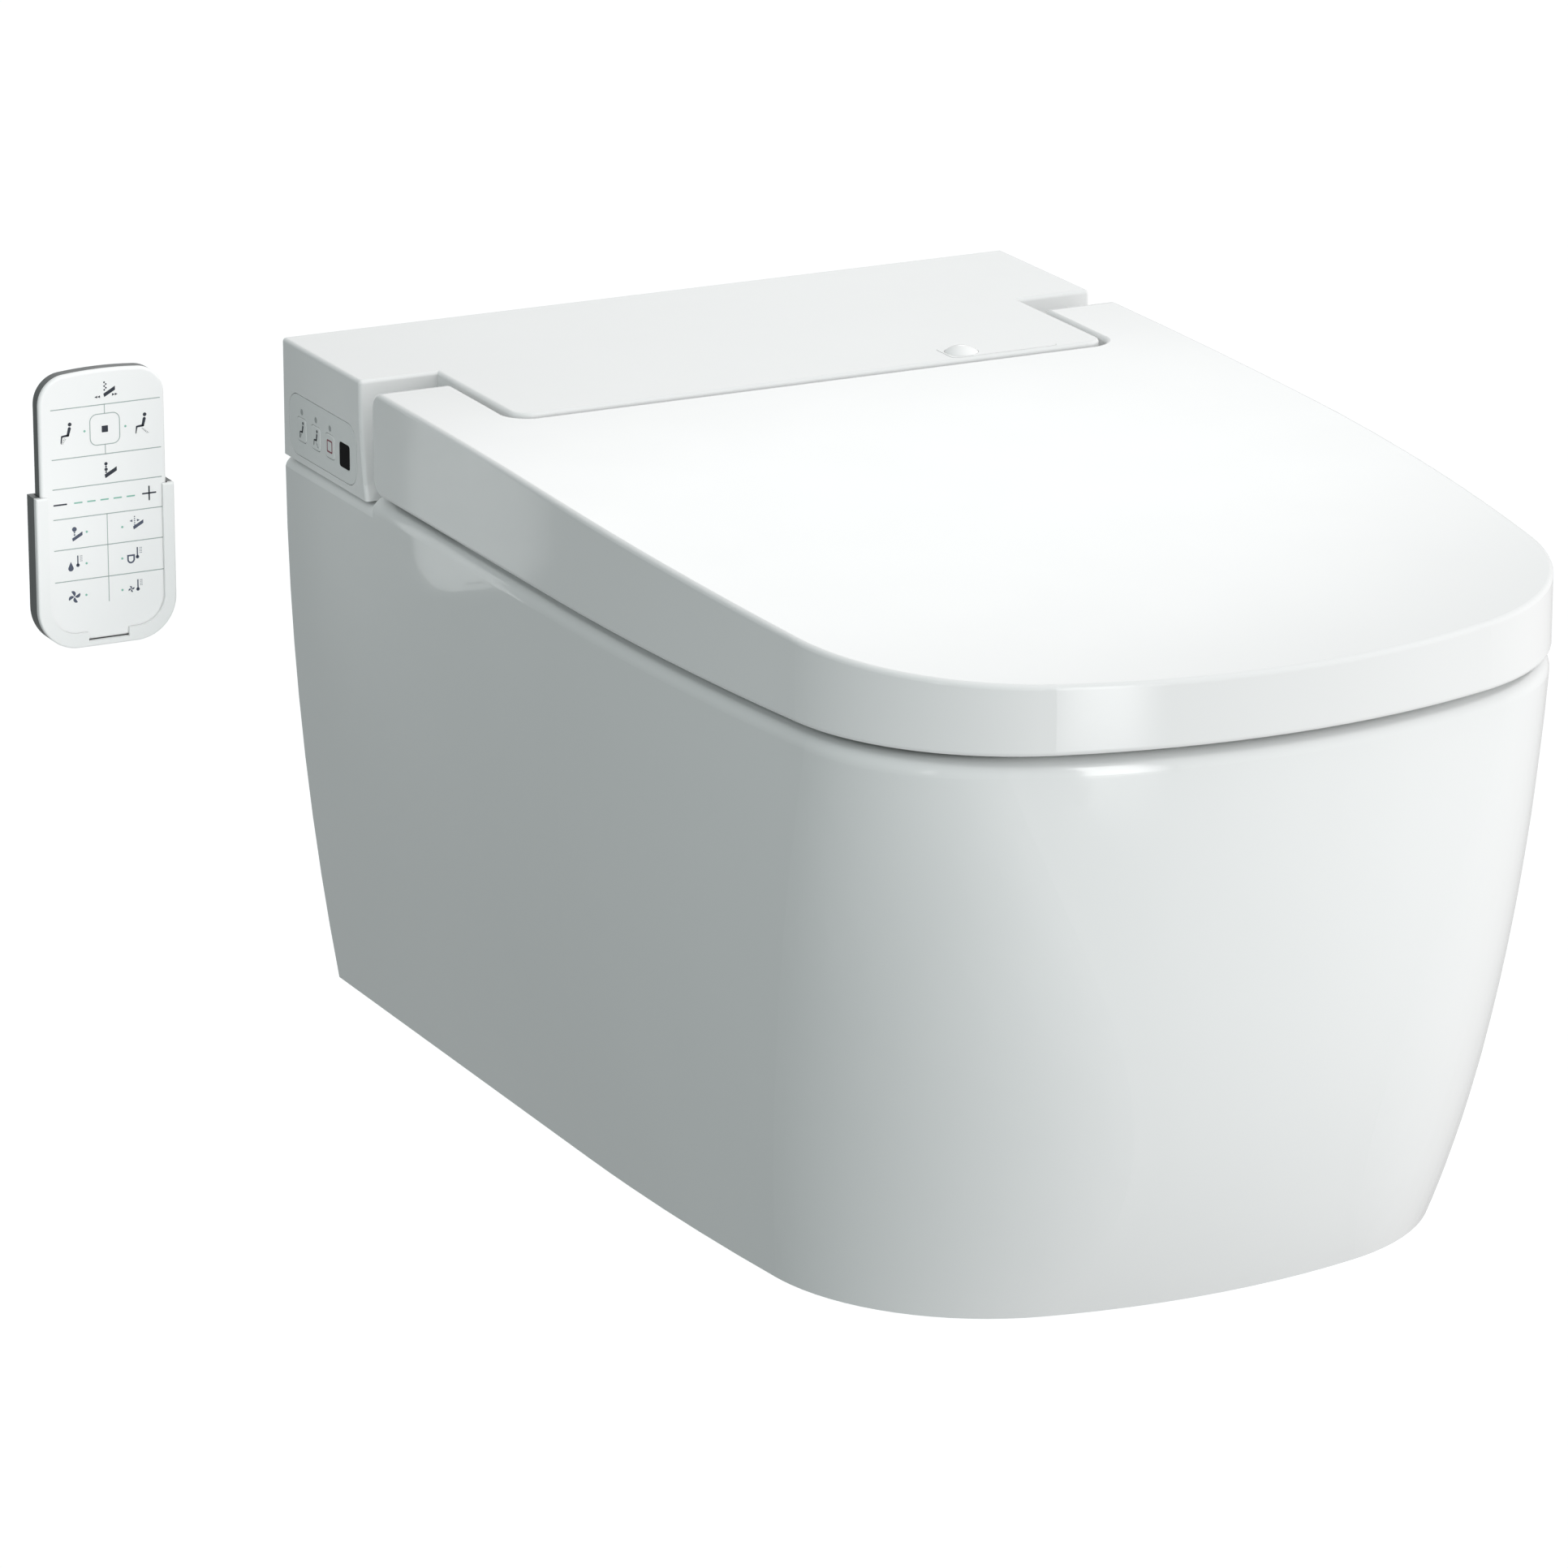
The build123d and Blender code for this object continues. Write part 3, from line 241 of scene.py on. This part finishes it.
WHITE = (0.86, 0.863, 0.86)
lid_plastic = moulded("lid_plastic", WHITE, 0.13, grain_height=0.000002, IOR=1.49)
cover_plastic = moulded("cover_plastic", (0.85, 0.855, 0.852), 0.22, IOR=1.49)
seat_plastic = moulded("seat_plastic", (0.85, 0.86, 0.85), 0.22, IOR=1.49, Coat_Weight=0.2)
panel_plastic = moulded("panel_plastic", (0.80, 0.815, 0.81), 0.34)
button_plastic = moulded("button_plastic", (0.79, 0.805, 0.80), 0.38)
inner_plastic = moulded("inner_plastic", (0.62, 0.64, 0.64), 0.42, grain_height=0.00001)
remote_film = moulded("remote_film", (0.92, 0.92, 0.918), 0.3, grain_height=0.000003)
bezel_plastic = moulded("bezel_plastic", (0.90, 0.905, 0.9), 0.3, grain_height=0.000003)
charcoal_plastic = moulded("charcoal_plastic", (0.14, 0.147, 0.147), 0.42, grain_height=0.000012)
black_plastic = moulded("black_plastic", (0.035, 0.036, 0.038), 0.45, grain_height=0.000012)
smoked_window = moulded("smoked_window", (0.002, 0.002, 0.0025), 0.12, grain_height=0.000001,
                        Specular_IOR_Level=0.04)
lens_plastic = moulded("lens_plastic", (0.95, 0.95, 0.945), 0.12, Coat_Weight=0.6)
lamp_plastic = moulded("lamp_plastic", (0.40, 0.42, 0.42), 0.3, Coat_Weight=0.3)
steel = machined("steel", (0.62, 0.62, 0.61), 0.24)
brass = machined("brass", (0.70, 0.50, 0.24), 0.3)
foil = machined("foil", (0.72, 0.45, 0.18), 0.35, brush=(900.0, 900.0, 900.0))
rubber = soft_rubber()
carbon = granular_carbon()
board = circuit_board()
ceramic = glazed_ceramic()

FINISHES = {
    ceramic: ["ceramic_pan", "ceramic_deck", "ceramic_floor", "ceramic_rear_wall", "ceramic_bowl",
              "ceramic_trapway", "ceramic_flush_inlet"],
    lid_plastic: ["lid", "lid_inner_panel"],
    cover_plastic: ["housing_cover", "housing_base", "name_plate"],
    seat_plastic: ["seat_top", "seat_base"],
    panel_plastic: ["control_panel"],
    button_plastic: ["rear_wash_button", "front_wash_button", "stop_button"],
    lamp_plastic: ["indicator_lights"],
    smoked_window: ["infrared_window"],
    lens_plastic: ["sensor_dome"],
    remote_film: ["remote_front"],
    bezel_plastic: ["holder_bezel"],
    charcoal_plastic: ["holder_tray", "remote_back", "battery_door"],
    inner_plastic: ["nozzle_cradle", "air_duct", "blower_housing", "water_heater", "nozzle_tip",
                    "solenoid_valve", "power_supply", "stud_sleeves", "blower_impeller"],
    black_plastic: ["hinge_damper_left", "hinge_damper_right", "nozzle_motor", "blower_motor",
                    "water_pump", "cable_gland"],
    steel: ["hinge_pin_left", "hinge_pin_right", "housing_bolts", "nozzle_wand", "remote_battery"],
    brass: ["water_inlet"],
    foil: ["seat_heater_foil"],
    rubber: ["housing_gasket", "lid_bumpers", "seat_bumpers", "remote_key_mat", "water_hose"],
    carbon: ["carbon_filter"],
    board: ["panel_switch_board", "control_board", "remote_board"],
}
for finish, names in FINISHES.items():
    for name in names:
        nodes[name].data.materials.clear()
        nodes[name].data.materials.append(finish)


# ---------------------------------------------------------------- printed marks

def arc(x, y, radius, start, end, steps):
    """Points on an arc, counter-clockwise, angles in degrees."""
    turns = [radians(start + (end - start) * i / steps) for i in range(steps + 1)]
    return [(x + radius * cos(t), y + radius * sin(t)) for t in turns]


def rounded_square(x, y, size, radius):
    half = size / 2 - radius
    corners = [(half, half, 0), (-half, half, 90), (-half, -half, 180), (half, -half, 270)]
    return [p for cx, cy, turn in corners for p in arc(x + cx, y + cy, radius, turn, turn + 90, 6)]


class Ink:
    """Marks printed on a flat face, in millimetres to the right of and above the face's origin."""

    PROUD = 0.06
    SUNK = 0.03

    def __init__(self, origin, right, normal):
        self.origin = Vector(origin)
        self.right = Vector(right)
        self.normal = Vector(normal)
        self.up = self.normal.cross(self.right)
        self.mesh = bmesh.new()

    def at(self, x, y, out):
        return self.mesh.verts.new(
            self.origin + (self.right * x + self.up * y + self.normal * out) * MM)

    def fill(self, points):
        """One closed plate with that outline, counter-clockwise."""
        top = [self.at(x, y, self.PROUD) for x, y in points]
        low = [self.at(x, y, -self.SUNK) for x, y in points]
        self.mesh.faces.new(top)
        self.mesh.faces.new(low[::-1])
        for i in range(len(points)):
            j = (i + 1) % len(points)
            self.mesh.faces.new((low[i], low[j], top[j], top[i]))

    def loop(self, outer, inner):
        """A closed band between two outlines with the same number of points."""
        rings = [[self.at(x, y, out) for x, y in line]
                 for line, out in ((outer, self.PROUD), (inner, self.PROUD),
                                   (inner, -self.SUNK), (outer, -self.SUNK))]
        for a, b in zip(rings, rings[1:] + rings[:1]):
            for i in range(len(outer)):
                j = (i + 1) % len(outer)
                self.mesh.faces.new((a[i], a[j], b[j], b[i]))

    def dot(self, x, y, radius):
        self.fill(arc(x, y, radius, 0, 345, 23))

    def bar(self, x0, y0, x1, y1, width, end_width=None):
        """A straight stroke with round ends, which may taper."""
        turn = degrees(atan2(y1 - y0, x1 - x0))
        far = (width if end_width is None else end_width) / 2
        near = width / 2
        self.fill(arc(x1, y1, far, turn - 90, turn + 90, 8) + arc(x0, y0, near, turn + 90, turn + 270, 8))

    def finish(self, name, material, body):
        bmesh.ops.recalc_face_normals(self.mesh, faces=self.mesh.faces)
        data = bpy.data.meshes.new(name)
        self.mesh.to_mesh(data)
        self.mesh.free()
        data.materials.append(material)
        piece = bpy.data.objects.new(name, data)
        scene.collection.objects.link(piece)
        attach(piece, body)
        return piece


def spray_arm(ink, x, y, size=1.0):
    """A slanted washing arm, with its lower end at x, y."""
    ink.fill([(x + dx * size, y + dy * size)
              for dx, dy in ((-0.1, -0.55), (5.6, 2.5), (5.6, 4.5), (-0.5, 1.2))])


def dotted(ink, x, y, count, step, radius):
    for i in range(count):
        ink.dot(x, y + i * step, radius)


def figure(ink, x, y, size, spray_side):
    """A seated person seen from the side, facing left, with the spray in front or behind."""
    ink.dot(x + 1.35 * size, y + 4.2 * size, 0.95 * size)
    ink.bar(x + 1.1 * size, y + 2.1 * size, x + 0.3 * size, y - 1.0 * size, 1.6 * size, 1.3 * size)
    ink.bar(x + 0.4 * size, y - 1.2 * size, x - 2.9 * size, y - 1.5 * size, 1.15 * size, 0.85 * size)
    ink.bar(x - 2.9 * size, y - 1.5 * size, x - 3.4 * size, y - 4.7 * size, 0.85 * size, 0.5 * size)
    start = -1.7 if spray_side == "front" else -0.1
    drift = -0.38 if spray_side == "front" else 0.62
    for i in range(5):
        ink.dot(x + (start + drift * i) * size, y - (2.7 + 0.6 * i) * size, 0.2 * size)
        ink.dot(x + (start + 0.75 + drift * i) * size, y - (2.9 + 0.55 * i) * size, 0.17 * size)


def arrow_head(ink, x, y, reach):
    """A triangle that points right, or left where its reach is negative."""
    points = [(x, y - 0.62), (x + reach, y), (x, y + 0.62)]
    ink.fill(points if reach > 0 else points[::-1])


def drop(ink, x, y, radius):
    ink.fill([(x, y + 2.4 * radius)] + arc(x, y, radius, 150, 390, 14))


def thermometer(ink, x, y):
    """A small thermometer, with a scale of dots beside it."""
    ink.dot(x, y - 1.9, 0.85)
    ink.bar(x, y - 1.9, x, y + 2.5, 0.62)
    for i in range(4):
        ink.dot(x + 1.35, y + 2.4 - 0.8 * i, 0.2)
        ink.dot(x + 2.05, y + 2.4 - 0.8 * i, 0.2)


def fan(ink, x, y, radius):
    """Four swept blades, each a half disc from the hub out to its tip."""
    for blade in range(4):
        turn = 90 * blade + 30
        lean = radians(turn)
        middle = (x + 0.54 * radius * cos(lean), y + 0.54 * radius * sin(lean))
        ink.fill(arc(*middle, radius * 0.47, turn - 180, turn, 12))


def seat_mark(ink, x, y):
    """A toilet seat seen from above: a U-shaped band closed by a straight bar."""
    outer = [(-1.9, 2.0)] + arc(0, -0.3, 1.9, 180, 360, 12) + [(1.9, 2.0)]
    inner = [(-1.15, 1.25)] + arc(0, -0.3, 1.15, 180, 360, 12) + [(1.15, 1.25)]
    ink.loop([(x + a, y + b) for a, b in outer], [(x + a, y + b) for a, b in inner])


def centre_of(node):
    low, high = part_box(node)
    return (low + high) / 2, low


navy_ink = printed_ink("navy_ink", (0.02, 0.025, 0.04))
slate_ink = printed_ink("slate_ink", (0.075, 0.09, 0.14))
line_ink = printed_ink("line_ink", (0.36, 0.43, 0.41))
teal_ink = printed_ink("teal_ink", (0.24, 0.52, 0.42))
red_ink = printed_ink("red_ink", (0.26, 0.05, 0.08))

# The remote control's face. Distances run down from its top edge, and right from the print's middle.
REMOTE_SHIFT = 1.2
RULES = [16.8, 40.5, 54.7, 69.2, 84.0, 99.3]
RULE_LEFT, RULE_RIGHT = -26.5, 27.5
STOP_KEY_ROW = 28.55
STOP_KEY_SIZE = 15.1


def remote_ink():
    low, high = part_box("remote_front")
    middle = (low.x + high.x) / 2 + REMOTE_SHIFT * MM
    return Ink((middle, low.y, high.z), (1, 0, 0), (0, -1, 0))


def print_remote_lines():
    ink = remote_ink()
    for row in RULES:
        ink.bar(RULE_LEFT, -row, RULE_RIGHT, -row, 0.42)
    half = STOP_KEY_SIZE / 2
    for start, end in ((RULES[0], STOP_KEY_ROW - half), (STOP_KEY_ROW + half, RULES[1]), (RULES[3], 111.3)):
        ink.bar(0, -start, 0, -end, 0.34)
    ink.loop(rounded_square(0, -STOP_KEY_ROW, STOP_KEY_SIZE, 3.6),
             rounded_square(0, -STOP_KEY_ROW, STOP_KEY_SIZE - 0.8, 3.2))
    ink.finish("remote_rules", line_ink, "remote")


def print_remote_main_keys():
    ink = remote_ink()
    spray_arm(ink, 0.2, -12.9, 0.95)
    for i in range(5):
        ink.dot(0.2 + 0.8 * (i % 2), -10.0 + 0.9 * i, 0.42)
    for x in (-3.4, -2.0):
        arrow_head(ink, x, -13.0, -1.35)
    for x in (4.0, 5.4):
        arrow_head(ink, x, -12.6, 1.35)
    figure(ink, -18.6, -28.4, 0.95, "front")
    figure(ink, 18.6, -28.0, 0.95, "rear")
    ink.fill(rounded_square(0, -STOP_KEY_ROW, 3.1, 0.2))
    spray_arm(ink, -0.2, -51.6, 1.0)
    for i, radius in enumerate((0.45, 0.8, 0.45, 0.8)):
        ink.dot(0.1, -49.3 + 1.35 * i, radius)
    ink.bar(-26.1, -62.2, -20.0, -62.2, 0.72)
    ink.bar(18.0, -61.9, 24.4, -61.9, 0.72)
    ink.bar(21.2, -58.7, 21.2, -65.1, 0.72)
    ink.finish("remote_main_icons", navy_ink, "remote")


def print_remote_setting_keys():
    ink = remote_ink()
    spray_arm(ink, -17.2, -80.0, 0.85)
    dotted(ink, -16.4, -77.4, 2, 1.1, 0.4)
    ink.dot(-16.4, -74.7, 1.15)
    spray_arm(ink, 13.2, -78.0, 0.85)
    dotted(ink, 13.6, -76.3, 5, 1.0, 0.3)
    arrow_head(ink, 12.5, -74.2, -1.4)
    arrow_head(ink, 14.8, -74.2, 1.4)
    drop(ink, -18.6, -93.3, 1.35)
    thermometer(ink, -15.1, -90.2)
    seat_mark(ink, 11.4, -92.4)
    thermometer(ink, 14.6, -89.9)
    fan(ink, -17.2, -107.1, 3.1)
    fan(ink, 11.2, -107.0, 1.6)
    thermometer(ink, 14.5, -105.5)
    ink.finish("remote_setting_icons", slate_ink, "remote")


def print_remote_lights():
    ink = remote_ink()
    for i in range(5):
        start = -15.9 + 6.53 * i
        ink.bar(start, -62.2, start + 3.6, -62.2, 0.66)
    pairs = ((28.5, -10.1, 10.2), (76.6, -10.3, 7.4), (91.7, -10.8, 7.0), (106.9, -11.3, 6.7))
    for row, left, right in pairs:
        ink.dot(left, -row, 0.55)
        ink.dot(right, -row, 0.55)
    ink.finish("remote_lights", teal_ink, "remote")


def print_button(node, material, draw):
    """A pictogram on a button's face, which travels with the button."""
    middle, low = centre_of(node)
    ink = Ink((low.x, middle.y, middle.z), (0, -1, 0), (-1, 0, 0))
    draw(ink)
    ink.finish(node.replace("button", "mark"), material, node)


print_remote_lines()
print_remote_main_keys()
print_remote_setting_keys()
print_remote_lights()
print_button("rear_wash_button", navy_ink, lambda ink: figure(ink, 0.7, 0.2, 0.8, "front"))
print_button("front_wash_button", navy_ink, lambda ink: figure(ink, 0.7, 0.2, 0.8, "rear"))
print_button("stop_button", red_ink,
             lambda ink: ink.loop(rounded_square(0, 0, 6.0, 0.7), rounded_square(0, 0, 4.6, 0.4)))


# ---------------------------------------------------------------- studio

def make_world():
    """The soft light by direction, and a white background for the camera."""
    world = bpy.data.worlds.new("studio")
    scene.world = world
    world.use_nodes = True
    tree = world.node_tree
    place = tree.nodes.new("ShaderNodeTexCoord").outputs["Generated"]

    def towards(direction):
        dot = tree.nodes.new("ShaderNodeVectorMath")
        dot.operation = "DOT_PRODUCT"
        dot.inputs[1].default_value = direction
        tree.links.new(place, dot.inputs[0])
        return dot.outputs["Value"]

    def spread(value, low, high, out_low, out_high):
        span = tree.nodes.new("ShaderNodeMapRange")
        span.interpolation_type = "SMOOTHSTEP"
        ends = zip(("From Min", "From Max", "To Min", "To Max"), (low, high, out_low, out_high))
        for socket, end in ends:
            span.inputs[socket].default_value = end
        tree.links.new(value, span.inputs["Value"])
        return span.outputs["Result"]

    def combine(operation, first, second):
        node = tree.nodes.new("ShaderNodeMath")
        node.operation = operation
        for socket, value in zip(node.inputs, (first, second)):
            if isinstance(value, float):
                socket.default_value = value
            else:
                tree.links.new(value, socket)
        return node.outputs["Value"]

    level = combine("ADD", towards(LIGHT_FROM), LIGHT_LEVEL)
    level = combine("ADD", level, spread(towards(GLOW_FROM), GLOW_EDGE, 1.0, 0.0, GLOW))
    tint = tree.nodes.new("ShaderNodeMix")
    tint.data_type = "RGBA"
    tint.inputs["A"].default_value = (*COOL_SIDE, 1)
    tint.inputs["B"].default_value = (1, 1, 1, 1)
    tree.links.new(spread(towards((1, 0, 0)), -1.0, COOL_UNTIL, 0.0, 1.0), tint.inputs["Factor"])
    shine = tree.nodes["Background"]
    tree.links.new(tint.outputs["Result"], shine.inputs["Color"])
    tree.links.new(combine("MAXIMUM", level, DIMMEST_LIGHT), shine.inputs["Strength"])
    backdrop = tree.nodes.new("ShaderNodeBackground")
    backdrop.inputs["Color"].default_value = (1, 1, 1, 1)
    rays = tree.nodes.new("ShaderNodeLightPath")
    mix = tree.nodes.new("ShaderNodeMixShader")
    tree.links.new(rays.outputs["Is Camera Ray"], mix.inputs["Fac"])
    tree.links.new(shine.outputs["Background"], mix.inputs[1])
    tree.links.new(backdrop.outputs["Background"], mix.inputs[2])
    tree.links.new(mix.outputs["Shader"], tree.nodes["World Output"].inputs["Surface"])


def make_softbox(name, left, right, foot, top, y, level, fade):
    """An upright glowing card that only glossy surfaces see; its right edge fades over that share of it."""
    data = bpy.data.meshes.new(name)
    data.from_pydata([(left, y, foot), (right, y, foot), (right, y, top), (left, y, top)], [], [(0, 1, 2, 3)])
    glow = bpy.data.materials.new(name)
    glow.use_nodes = True
    tree = glow.node_tree
    tree.nodes.remove(tree.nodes["Principled BSDF"])
    shine = tree.nodes.new("ShaderNodeEmission")
    place = tree.nodes.new("ShaderNodeTexCoord")
    split = tree.nodes.new("ShaderNodeSeparateXYZ")
    span = tree.nodes.new("ShaderNodeMapRange")
    for socket, value in zip(("From Min", "From Max", "To Min", "To Max"), (1.0 - fade, 1.0, level, 0.0)):
        span.inputs[socket].default_value = value
    tree.links.new(place.outputs["Generated"], split.inputs["Vector"])
    tree.links.new(split.outputs["X"], span.inputs["Value"])
    tree.links.new(span.outputs["Result"], shine.inputs["Strength"])
    tree.links.new(shine.outputs["Emission"], tree.nodes["Material Output"].inputs["Surface"])
    data.materials.append(glow)
    card = bpy.data.objects.new(name, data)
    scene.collection.objects.link(card)
    card.visible_camera = False
    card.visible_diffuse = False
    card.visible_shadow = False
    card.visible_transmission = False


def make_remote_lamp():
    """A small lamp in front of the remote control, which the pan shades from the main light."""
    low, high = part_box("remote_front")
    lamp = bpy.data.lights.new("remote_lamp", "SPOT")
    lamp.energy = LAMP_POWER
    lamp.spot_size = 2 * atan2(LAMP_REACH, LAMP_DISTANCE)
    lamp.spot_blend = LAMP_BLEND
    lamp.shadow_soft_size = LAMP_SOFTNESS
    holder = bpy.data.objects.new("remote_lamp", lamp)
    middle = (low + high) / 2
    holder.location = (middle.x - LAMP_ASIDE, low.y - LAMP_DISTANCE, middle.z)
    holder.rotation_euler = (radians(90), 0, 0)
    holder.visible_glossy = False
    scene.collection.objects.link(holder)


def make_floor():
    data = bpy.data.meshes.new("floor")
    half = FLOOR_SIZE / 2
    height = cad_box[0].z - FLOOR_DROP
    corners = [(-half, -half, height), (half, -half, height), (half, half, height), (-half, half, height)]
    data.from_pydata(corners, [], [(0, 1, 2, 3)])
    paint = new_material("pale_floor", (FLOOR_PAINT, FLOOR_PAINT, FLOOR_PAINT), 0.9,
                         Emission_Color=(1, 1, 1, 1), Emission_Strength=FLOOR_GLOW)
    data.materials.append(paint)
    floor = bpy.data.objects.new("floor", data)
    scene.collection.objects.link(floor)
    floor.visible_diffuse = False
    floor.visible_glossy = False


def make_camera():
    lens = bpy.data.cameras.new("camera")
    lens.lens = CAMERA_LENS
    lens.sensor_width = CAMERA_SENSOR
    lens.clip_end = CAMERA_REACH
    camera = bpy.data.objects.new("camera", lens)
    camera.location = CAMERA_PLACE
    camera.rotation_euler = (radians(90 - CAMERA_DOWN), 0, radians(CAMERA_TURN))
    scene.collection.objects.link(camera)
    scene.camera = camera


make_world()
make_softbox("tall_softbox", left=-0.175, right=0.125, foot=-0.23, top=0.9, y=-1.6, level=5.2, fade=0.45)
make_softbox("side_softbox", left=-1.95, right=-1.3, foot=0.02, top=0.9, y=-1.55, level=1.6, fade=0.5)
make_remote_lamp()
make_floor()
make_camera()
scene.view_settings.view_transform = "Standard"
